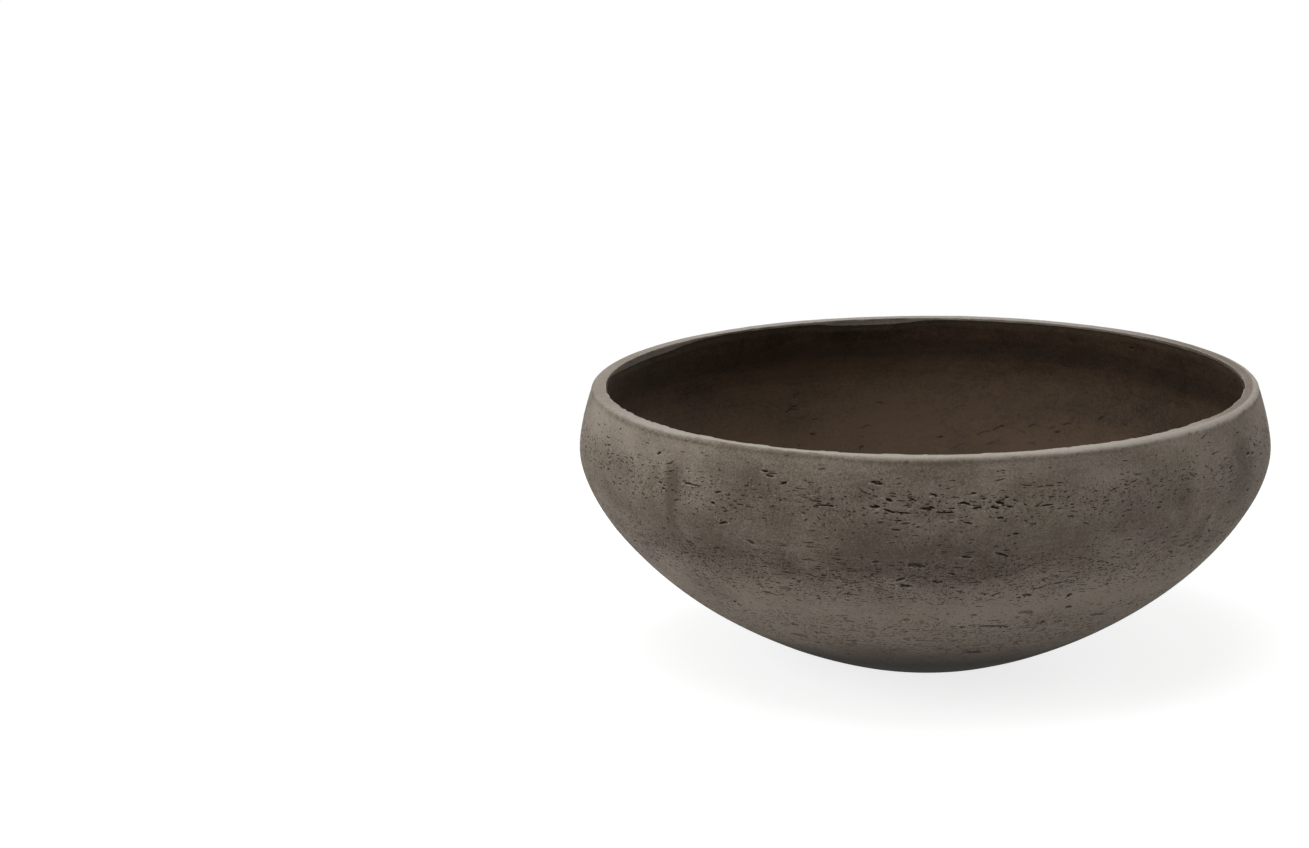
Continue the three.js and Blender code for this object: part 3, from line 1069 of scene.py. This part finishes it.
def rim_wear_and_shade(bearing, from_corner, from_edge, flat):
    """How pale the rim is worn, and how dark the painted shade under it is, by the distances past the rim's
    outer corner and past its inner edge. The pale wear begins near the corner, is strongest along the edge
    and fades beyond it. It begins later at the front left and earlier at the right, and at both sides the
    flat between the two is darker. The painted shade is a dark line a little under the outer corner,
    strongest at the front left and gone at the front right and at the left."""
    front_left = sector(bearing, *WORN_FRONT_LEFT)
    front_right = sector(bearing, *WORN_FRONT_RIGHT)
    left = sector(bearing, *WORN_LEFT)
    right = sector(bearing, *WORN_RIGHT)
    ragged = (1.2 + front_left) * layered(flat, WEAR_CLOUDS)
    reach = 2.0 - 3.6 * front_left + 2.5 * front_right + 2.4 * right
    worn = smooth((from_corner + reach + ragged) / (4.0 - 2.0 * front_left))
    flat_at_left = 0.5 * left * smooth((from_corner + 0.5) / 2)
    flat_at_right = 0.95 * right * smooth((from_corner - 2.8) / 1.4)
    worn *= 1 - flat_at_left - flat_at_right
    worn += (0.25 + 0.35 * right) * bell(from_edge + 0.4, 0.9)
    worn = np.maximum(worn, 0.12 * left * bell(from_corner + 9, 9))
    worn *= 1 - 0.5 * smooth((from_edge - 0.4) / 1.2)
    # Painted shade: a dark line a little under the rim's outer corner.
    line = bell(from_corner + 4.0 - 2.2 * front_left, 1.3 + 0.8 * front_left)
    return worn, 0.45 * (1 + 0.4 * front_left - front_right - left) * line


class PLANTER_OT_casting(bpy.types.Operator):
    """Make the cast fibre-cement bowl"""

    bl_idname = "planter.casting"
    bl_label = "Casting"

    def execute(self, context):
        looks = context.scene.planter_cement
        section = shell_section()
        at = ShellPlaces(section)
        grid = SplitGrid(section, at.stretches(), SHELL_SPLITS)
        strewn = belt_pits(PIT_BELTS, looks.seed)
        grid.ask_round(strewn, SHELL_SPLITS - 1)
        grid.ask_round(FRONT_PITS, SHELL_SPLITS)
        bearing, distance, faces = grid.mesh()
        pits = np.r_[strewn, np.array(FRONT_PITS)]

        r, z, out_r, out_z = section.at(distance)
        flat = placed(bearing, r, z)
        outside = smooth((distance - 8) / 60) * smooth((at.corner - distance) / 6)
        sink, dark, lip = pit_relief(bearing, distance, r, layered(flat, PIT_CLOUDS), pits)
        dark, lip = dark * outside, lip * outside
        nicks = smooth((clouds(flat, *NICKS_CLOUDS) - NICKS_BEGIN) / (NICKS_WHOLE - NICKS_BEGIN))
        nicks *= bell(distance - at.corner + NICKS_BELOW, NICKS_WIDTH)
        relief = shell_relief(looks, at, distance, flat, outside, sink * looks.pit_scale, lip, nicks)
        points = placed(bearing, r + out_r * relief, z + out_z * relief + PAD_THICKNESS)

        worn, line = rim_wear_and_shade(bearing, distance - at.corner, distance - at.edge, flat)
        # Painted shade low on the foot, near the floor.
        foot_shade = smooth((SHADED_FOOT[1] - distance) / (SHADED_FOOT[1] - SHADED_FOOT[0])) * smooth((distance + 1) / 2)
        # The marks, less the painted shade line under the rim; some of the pale marks are painted sheen.
        marks_and_painted_light = fuzzy_marks(bearing, distance, r, FRONT_MARKS) * outside - line
        attributes = {
            "lay": placed(bearing, r, distance),
            # Painted shade in the pits and nicks, and a painted highlight on each pit's lower lip.
            "pits": np.maximum(dark, NICKS_SHADE * nicks),
            "lips": lip,
            "rim": worn,
            "under": np.where(distance < at.edge, foot_shade, 0),
            "marks": np.clip(marks_and_painted_light, -1, 1),
        }
        material = cement_material(looks)
        make_piece("casting", points, faces, attributes, material, "planter", ["bowl_shell"])
        return {"FINISHED"}


# ---- The coat ----


class PlanterCoatLooks(bpy.types.PropertyGroup):
    """Colours and relief of the sealing coat"""

    pale: colour_property("Pale", "Lightest tone of the sealer", light(73, 57, 43))
    dark: colour_property("Dark", "Darkest tone of the sealer", light(35, 26, 18))
    tint: colour_property("Tint", "Tint of the greyer patches", light(238, 240, 232))
    # Gap is the colour of dark nicks and of the painted shade at the bottom of a torn mark.
    gap: colour_property("Gap", "Bottom of a torn mark", light(22, 16, 11))
    # Edge: thin sealer at the upper edge; over a mark's lip this colour is a painted highlight.
    edge: colour_property("Edge", "Thin sealer, at the upper edge and over a mark's lip", light(66, 57, 46))
    waves: length_property("Waves", "How far the trowelled surface wanders", 0.0005)
    wander: length_property("Edge wander", "How far the upper edge rises and falls", 0.0011)


# Torn trowel marks in the coat, as FRONT_PITS has its pits, but with the distance up the inner face from the
# hole. From the front of the bowl their slopes look reversed.
TROWEL_MARKS = (
    (173, 251, 8, 0.9, 0.35, -30, 1.5),
    (168, 265, 7, 0.9, 0.4, -24, 2),
    (165, 270, 5.6, 0.8, 0.7, -30, 0.8),
    (160, 268, 4, 0.8, 0.4, 14, 1.6),
    (158, 275, 4.4, 0.9, 0.6, -18, 2.2),
    (154, 274, 3.4, 0.8, 0.4, -26, 1),
    (151, 279, 4.6, 0.9, 0.6, -24, 1.8),
    (148, 277, 3, 0.7, 0.4, 18, 1.4),
    (144, 288, 4.4, 1, 0.9, -38, 1.4),
    (138, 286, 5.4, 0.7, 0.4, 8, 1.8),
    (166, 255, 5, 0.9, 0.4, -28, 1),
    (157, 258, 5, 1, 0.4, 6, 1.2),
    (137, 356, 1.6, 1.2, 0.8, 0, 0),
    (-155, 304, 5, 0.7, 0.5, -16, 4),
    (-153, 291, 6, 0.7, 0.6, -8, 4),
    (-158, 280, 5, 0.7, 0.5, 16, 3),
    (-171, 292, 5, 0.7, 0.5, 0, 4),
    (-168, 271, 5, 0.7, 0.5, -14, 3),
)

# Faint ones all the way round, as PIT_BELTS has its pits, and the seed that strews them.
TROWEL_SEED = 5
TROWEL_BELTS = (
    (276, 16, 24, 8, (2, 4), (0.5, 0.7)),
    (150, 40, 20, 10, (2, 5), (0.5, 0.8)),
)

# Fuzzy marks on the coat, as FRONT_MARKS has them, with the distance up the inner face from the hole.
COAT_MARKS = (
    (141, 300, 64, 34, -0.8),
    (148, 335, 44, 9, -0.4),
    (-164, 327, 74, 11, 0.6),
    (-128, 308, 40, 22, -0.35),
)

# Where the coat stops short of the rim: bearing from the front and half width in degrees, and how far.
BARE_STRIPS = ((-114, 15, 4.6), (-169, 9, 3.4), (38, 12, 3), (100, 8, 1.5))

# Clouds of the coat, as weight, size and seed: its trowelled face, the streaks along it in millimetres, the
# outlines of its torn marks, and its upper edge, which reads coarse and fine clouds on rings of two radii.
TROWEL_CLOUDS = ((0.6, 46, 51), (0.35, (17, 17, 12), 52))
STREAK_CLOUDS = ((0.12, (40, 40, 9), 54),)
TEAR_CLOUDS = ((1, (2.4, 2.4, 2), 53),)
EDGE_RING = 110
EDGE_CLOUDS = ((0.5, 46, 61), (0.3, 14, 62))
EDGE_FINE_RING = 252
EDGE_FINE_CLOUDS = ((0.22, 5, 63),)

# Millimetres by which the coat's face stands over its drawn line, its deepest tear, the rise of a tear's lip,
# and how much thinner the coat is at its upper edge.
COAT_PROUD = 0.35
COAT_DEEPEST = 0.75
TEAR_LIP = 0.45
EDGE_THINNER = 0.45

# Behind the right side the painted shadow band of the inner face lies lower, by so many millimetres from the
# first bearing to the second, in degrees to the right of the front, and less and less up to the third.
SHADOW_BAND_DROP = 8
SHADOW_BAND_BEARINGS = (90, 125, 150)


def coat_edge_rise(bearing, from_edge, wander):
    """How far the coat's upper edge rises. It wanders, and drops in bare strips; both fade down the face."""
    ring = placed(bearing, 1.0, 0)
    rise = layered(ring * EDGE_RING, EDGE_CLOUDS) + layered(ring * EDGE_FINE_RING, EDGE_FINE_CLOUDS) - 0.4
    rise *= wander
    for middle, half_width, drop in BARE_STRIPS:
        rise -= drop * sector(bearing, middle, half_width)
    return rise * smooth((26 - np.abs(from_edge)) / 25)


class PLANTER_OT_coat(bpy.types.Operator):
    """Make the sealing coat that is brushed on the inside"""

    bl_idname = "planter.coat"
    bl_label = "Sealing coat"

    def execute(self, context):
        looks = context.scene.planter_coat
        top = SHELL_HEIGHT - COAT_BELOW_RIM
        bonded = ended_at(top, inner_line(SEAT_GAP))
        face = ended_at(top, inner_line(SEAT_GAP + COAT))
        edge = np.linspace(bonded[-1], face[-1], ARC_POINTS)
        over = with_corner_rounded(bonded, edge, COAT_EDGE_ROUND)
        over = with_corner_rounded(over, face[::-1], COAT_EDGE_ROUND)
        section = Section(np.r_[over, bonded[:1]])
        edge_at = section.nearest(*((bonded[-1] + face[-1]) / 2))
        hole = section.nearest(*face[0])
        tears = np.r_[belt_pits(TROWEL_BELTS, TROWEL_SEED), np.array(TROWEL_MARKS)]
        from_edge_down = tears.copy()
        from_edge_down[:, 1] = hole - tears[:, 1]
        stretches = (
            (0, 32, 0),
            (edge_at - 12, 2, 2),
            (edge_at - 1, 1, 3),
            (edge_at + 1, 3, 3),
            (edge_at + 22, 26, 2),
            (hole - 70, 7, 1),
            (hole, 1, 0),
        )
        grid = SplitGrid(section, stretches, COAT_SPLITS)
        grid.ask_round(from_edge_down, COAT_SPLITS)
        bearing, distance, faces = grid.mesh()

        r, z, out_r, out_z = section.at(distance)
        flat = placed(bearing, r, z)
        lay = placed(bearing, r, distance)
        up = hole - distance
        from_edge = distance - edge_at
        facing = smooth((from_edge - 0.5) / 8) * smooth((r - 24) / 14)
        sink, _, lip = pit_relief(bearing, up, r, layered(flat, TEAR_CLOUDS), tears)
        relief = looks.waves / METRES * layered(flat, TROWEL_CLOUDS)
        relief = relief + layered(lay, STREAK_CLOUDS) + COAT_PROUD
        relief = np.maximum((relief - sink + TEAR_LIP * lip) * facing, -COAT_DEEPEST)
        relief -= EDGE_THINNER * smooth((7 - from_edge) / 6) * (from_edge > 0)

        rise = coat_edge_rise(bearing, from_edge, looks.wander / METRES)
        climb = along(math.pi / 2 + RIM_LEAN * 0.85)
        points = placed(
            bearing,
            r + out_r * relief + climb[0] * rise,
            z + out_z * relief + climb[1] * rise + PAD_THICKNESS,
        )
        right_hand = np.degrees(wrapped(bearing - front_bearing(0)))
        begins, fades, ends = SHADOW_BAND_BEARINGS
        shifted = smooth((ends - right_hand) / (ends - fades)) * (right_hand > begins)
        attributes = {
            "lay": lay,
            # Relief drives the painted shade in the torn marks and the painted highlight over their lip.
            "relief": (lip * 0.4 - sink) * facing,
            # The painted shadow band lies lower behind the right side.
            "up": up + SHADOW_BAND_DROP * shifted,
            "marks": fuzzy_marks(bearing, up, r, COAT_MARKS),
            "edge": smooth((9 - from_edge) / 8) * 0.9,
        }
        material = coat_material(looks)
        nodes = ["inner_sealing_coat"]
        make_piece("coat_brushed", points, faces, attributes, material, "planter", nodes)
        return {"FINISHED"}


# ---- Plug and pads ----

# How many rings of corners the stretches of the plug's and a pad's line have, and their clouds, as weight,
# size and seed. The rubber lies so far under its drawn line, but not within PAD_FLAT of a pad's sole or back.
PLUG_RINGS = (110, 40, 80)
PAD_RINGS = (22, 8, 20)
PLUG_CLOUDS = ((0.04, 5, 71),)
PAD_CLOUDS = (0.045, 2.2, 80)
RUBBER_SUNK = 0.05
PAD_FLAT = 0.02


class PlanterRubberLooks(bpy.types.PropertyGroup):
    """Colours and roughness of the plug and the pads"""

    plug: colour_property("Plug", "Rubber of the plug", light(29, 28, 27))
    plug_dust: colour_property("Plug dust", "Dust on the plug", light(70, 66, 60))
    pad: colour_property("Pad", "Rubber of the pads", light(58, 58, 58))
    pad_dust: colour_property("Pad dust", "Dust on the pads", light(92, 89, 84))
    roughness: plain_property("Roughness", "Roughness of the rubber", 0.72, max=1)


def turned_piece(profile, rings, columns):
    """A solid turned from stretches of (r, z) points, each with its number of rings. The first begins and the
    last ends on the axis, in a single corner."""
    section = Section(np.concatenate(profile))
    joints = [section.nearest(*part[0]) for part in profile] + [section.length]
    cut = [np.linspace(a, b, n, endpoint=False) for a, b, n in zip(joints, joints[1:], rings)]
    distance = np.concatenate([*cut, [section.length]])
    counts = [1] + [columns] * (len(distance) - 2) + [1]
    bearing = np.concatenate([np.arange(count) * (2 * math.pi / count) for count in counts])
    return bearing, *section.at(np.repeat(distance, counts)), ring_faces(counts)


def straight(*points):
    """A line of points from corner to corner."""
    corners = np.array(points, float)
    return np.concatenate([np.linspace(a, b, ARC_POINTS) for a, b in zip(corners, corners[1:])])


def plug_profile():
    """The plug's line from the middle of its underside: stem, ribs that widen upwards, flange and crown. The
    crown is a parabola with a moulded ring and a small dimple in its middle."""
    seat = FLOOR - PLUG_SEAT_DEPTH + 2 * SEAT_GAP + COAT
    top = seat + PLUG_FLANGE
    pitch = (seat - PLUG_RECESS) / (PLUG_RIBS + 1)
    inset, drop = PLUG_RIB_TAPER
    stem = [(0, PLUG_RECESS), (PLUG_STEM - PLUG_STEM_BEVEL, PLUG_RECESS)]
    stem += [(PLUG_STEM, PLUG_RECESS + PLUG_STEM_BEVEL)]
    for rib in range(PLUG_RIBS):
        widest = PLUG_RECESS + pitch * (rib + 1)
        stem += [(PLUG_STEM, widest - pitch / 2), (PLUG_RIB - inset, widest - drop)]
        stem += [(PLUG_RIB, widest), (PLUG_STEM, widest + SEAT_GAP)]
    stem += [(PLUG_STEM, seat)]
    rim = (PLUG_FLANGE_RADIUS, seat + PLUG_FLANGE_EDGE)
    bevel = PLUG_FLANGE_BEVEL
    flange = [(PLUG_STEM, seat), (PLUG_FLANGE_RADIUS - bevel, seat), (PLUG_FLANGE_RADIUS, seat + bevel), rim]
    pull = np.array([PLUG_FLANGE_RADIUS, top])
    middle = np.array([0, top])
    share = np.linspace(0, 1, CURVE_POINTS)[:, None]
    crown = (1 - share) ** 2 * np.array(rim) + 2 * share * (1 - share) * pull + share**2 * middle
    crown[:, 1] -= 0.45 * bell(crown[:, 0] - PLUG_RING_RADIUS, 0.7) + 0.6 * bell(crown[:, 0], 2.2)
    return [straight(*stem), straight(*flange), crown]


def pad_profile():
    """A pad's line from the middle of its sole: the sole, its soft edge, the side and the back."""
    flat_radius = PAD_RADIUS - PAD_CHAMFER
    turn = np.linspace(-math.pi / 2, 0, ARC_POINTS)
    soft_edge = np.array([flat_radius, PAD_CHAMFER]) + PAD_CHAMFER * np.c_[np.cos(turn), np.sin(turn)]
    back = straight((PAD_RADIUS, PAD_CHAMFER), (PAD_RADIUS, PAD_THICKNESS), (0, PAD_THICKNESS))
    return [straight((0, 0), (flat_radius, 0)), soft_edge, back]


class PLANTER_OT_plug(bpy.types.Operator):
    """Make the rubber plug of the drain hole"""

    bl_idname = "planter.plug"
    bl_label = "Drain plug"

    def execute(self, context):
        looks = context.scene.planter_rubber
        bearing, r, z, out_r, out_z, faces = turned_piece(plug_profile(), PLUG_RINGS, PLUG_COLUMNS)
        relief = (layered(placed(bearing, r, z), PLUG_CLOUDS) - RUBBER_SUNK) * smooth(r / 3)
        points = placed(bearing, r + out_r * relief, z + out_z * relief + PAD_THICKNESS)
        material = rubber_material("plug_rubber_black", looks.plug, looks.plug_dust, 0.5, looks.roughness)
        crease = math.radians(40)
        make_piece("plug_moulded", points, faces, {}, material, "plug", ["drain_plug"], crease)
        return {"FINISHED"}


class PLANTER_OT_pads(bpy.types.Operator):
    """Make the four pads under the foot"""

    bl_idname = "planter.pads"
    bl_label = "Foot pads"

    def execute(self, context):
        looks = context.scene.planter_rubber
        material = rubber_material("pad_rubber_grey", looks.pad, looks.pad_dust, 0.7, looks.roughness + 0.08)
        bearing, r, z, out_r, out_z, faces = turned_piece(pad_profile(), PAD_RINGS, PAD_COLUMNS)
        side = (z > PAD_FLAT) * (z < PAD_THICKNESS - PAD_FLAT)
        for number in range(PAD_COUNT):
            weight, size, seed = PAD_CLOUDS
            worn = weight * clouds(placed(bearing, r, z), size, seed + number) - RUBBER_SUNK
            relief = worn * smooth(r / 2) * side
            points = placed(bearing, r + out_r * relief, z + out_z * relief)
            turn_to = (number + 0.5) / PAD_COUNT * 2 * math.pi
            points += placed(np.array([turn_to]), PAD_FROM_AXIS, 0)
            name = f"pad_soft_{number + 1}"
            node = f"foot_pad_{number + 1}"
            make_piece(name, points, faces, {}, material, "planter", [node], math.radians(50))
        return {"FINISHED"}


# ---- The studio ----


class PlanterStudio(bpy.types.PropertyGroup):
    """Lamps and camera"""

    key: plain_property("Overhead", "Power of the soft lamp overhead", 29, unit="POWER")
    side: plain_property("Left", "Power of the soft lamp on the left", 24, unit="POWER")
    edge: plain_property("Edge", "Power of the lamp behind on the right", 11.5, unit="POWER")
    sky: plain_property("Surround", "Strength of the even light all round", 0.27)
    distance: length_property("Distance", "From the aim point to the camera", 3.0)
    elevation: plain_property("Elevation", "Camera's angle above level", math.radians(14.04), subtype="ANGLE")
    aim: length_property("Aim", "Height of the aim point on the bowl's axis", 0.12955)
    lens: plain_property("Lens", "Focal length", 103.06, unit="CAMERA")


# The camera's shift, as shares of the picture's width. It sets the bowl where it stands in the photograph.
SHIFT = (-0.20684, 0.05295)

# The studio's lamps, in metres: name, place, size, and which setting has the power; and the height at which
# they aim, on the bowl's axis.
LAMPS = (
    ("lamp_overhead", (-0.25, -0.35, 2.0), 1.8, "key"),
    ("lamp_left", (-2.1, -1.0, 1.15), 1.3, "side"),
    ("lamp_edge", (1.9, 1.2, 0.9), 1.0, "edge"),
)
LAMP_AIM = 0.12

# The floor's side in metres, its grey as light falls on it, and as it is seen: its grey under the lamps, the
# glow that lifts it to white, and the distances in metres between which the shadow fades away.
FLOOR_SIZE = 14.0
FLOOR_GREY = 0.78
FLOOR_SHADOW = 0.42
FLOOR_LIFT = 0.8
FLOOR_FADE = (0.45, 0.95)


def soft_lamp(name, place, size, power):
    """A square lamp that faces the middle of the bowl."""
    data = bpy.data.lights.new(name, "AREA")
    data.size = size
    data.energy = power
    lamp = bpy.data.objects.new(name, data)
    lamp.location = place
    toward = Vector((0, 0, LAMP_AIM)) - Vector(place)
    lamp.rotation_euler = toward.to_track_quat("-Z", "Y").to_euler()
    bpy.context.scene.collection.objects.link(lamp)


def seen_directly(finish):
    """1 for what the camera sees, straight on, in a mirror or through glass, and 0 for light that falls."""
    path = finish.node("ShaderNodeLightPath", None, None, "Is Camera Ray")
    return path.at_least(path.other("Is Glossy Ray")).at_least(path.other("Is Transmission Ray"))


def floor_material():
    """A matt pale floor. Seen directly it is lifted to white, and near the object its shadow stays grey."""
    finish = Finish(bpy.data.materials.new("floor_white"))
    plain = finish.node("ShaderNodeBsdfDiffuse", None, {"Color": (*(FLOOR_GREY,) * 3, 1)})
    shadowed = finish.node("ShaderNodeBsdfDiffuse", None, {"Color": (*(FLOOR_SHADOW,) * 3, 1)})
    glow = finish.node("ShaderNodeEmission", None, {"Color": (1, 1, 1, 1), "Strength": FLOOR_LIFT})
    white = finish.node("ShaderNodeEmission", None, {"Color": (1, 1, 1, 1), "Strength": 1.0})
    lifted = finish.node("ShaderNodeAddShader", None, {0: shadowed, 1: glow})
    place = finish.node("ShaderNodeTexCoord", None, None, "Object")
    far = finish.node("ShaderNodeVectorMath", {"operation": "LENGTH"}, {0: place}, "Value")
    seen = finish.node("ShaderNodeMixShader", None, {0: far.step(*FLOOR_FADE), 1: lifted, 2: white})
    shown = finish.node("ShaderNodeMixShader", None, {0: seen_directly(finish), 1: plain, 2: seen})
    return finish.ended(shown)


def studio_world(strength):
    """An even surround that is white where it is seen directly."""
    surround = Finish(bpy.data.worlds.new("studio"))
    seen = seen_directly(surround)
    level = seen + (1 - seen) * strength
    shown = surround.node("ShaderNodeBackground", None, {"Color": (1, 1, 1, 1), "Strength": level})
    return surround.ended(shown, "ShaderNodeOutputWorld")


class PLANTER_OT_stage(bpy.types.Operator):
    """Make the floor, the lamps and the camera"""

    bl_idname = "planter.stage"
    bl_label = "Stage"

    def execute(self, context):
        studio = context.scene.planter_studio
        scene = context.scene
        scene.view_settings.view_transform = "Standard"
        scene.world = studio_world(studio.sky)

        half = FLOOR_SIZE / 2
        corners = [(-half, -half, 0), (half, -half, 0), (half, half, 0), (-half, half, 0)]
        mesh = bpy.data.meshes.new("floor")
        mesh.from_pydata(corners, [], [(0, 1, 2, 3)])
        mesh.materials.append(floor_material())
        floor = bpy.data.objects.new("floor", mesh)
        scene.collection.objects.link(floor)

        for name, place, size, power in LAMPS:
            soft_lamp(name, place, size, getattr(studio, power))

        data = bpy.data.cameras.new("camera")
        data.lens = studio.lens
        data.shift_x, data.shift_y = SHIFT
        camera = bpy.data.objects.new("camera", data)
        level, up = math.cos(studio.elevation), math.sin(studio.elevation)
        camera.location = Vector((0, -level, up)) * studio.distance + Vector((0, 0, studio.aim))
        camera.rotation_euler = (math.pi / 2 - studio.elevation, 0, 0)
        scene.collection.objects.link(camera)
        scene.camera = camera
        return {"FINISHED"}


# ---- The add-on ----


class PLANTER_PT_panel(bpy.types.Panel):
    """The planter's pieces, in the order in which they are made"""

    bl_label = "Bowl Planter"
    bl_idname = "PLANTER_PT_panel"
    bl_space_type = "VIEW_3D"
    bl_region_type = "UI"
    bl_category = "Planter"

    def draw(self, context):
        for operator in OPERATORS:
            self.layout.operator(operator.bl_idname)
        for key in SETTINGS:
            box = self.layout.box()
            group = getattr(context.scene, key)
            for name in group.bl_rna.properties.keys():
                if name not in ("rna_type", "name"):
                    box.prop(group, name)


SETTINGS = {
    "planter_cement": PlanterCementLooks,
    "planter_coat": PlanterCoatLooks,
    "planter_rubber": PlanterRubberLooks,
    "planter_studio": PlanterStudio,
}
OPERATORS = (PLANTER_OT_casting, PLANTER_OT_coat, PLANTER_OT_plug, PLANTER_OT_pads, PLANTER_OT_stage)
CLASSES = (*SETTINGS.values(), *OPERATORS, PLANTER_PT_panel)


def register():
    for cls in CLASSES:
        bpy.utils.register_class(cls)
    for key, group in SETTINGS.items():
        setattr(bpy.types.Scene, key, PointerProperty(type=group))


def unregister():
    for key in SETTINGS:
        delattr(bpy.types.Scene, key)
    for cls in reversed(CLASSES):
        bpy.utils.unregister_class(cls)


def main():
    register()
    bpy.ops.planter.casting()
    bpy.ops.planter.coat()
    bpy.ops.planter.plug()
    bpy.ops.planter.pads()
    bpy.ops.planter.stage()


if __name__ == "__main__":
    main()
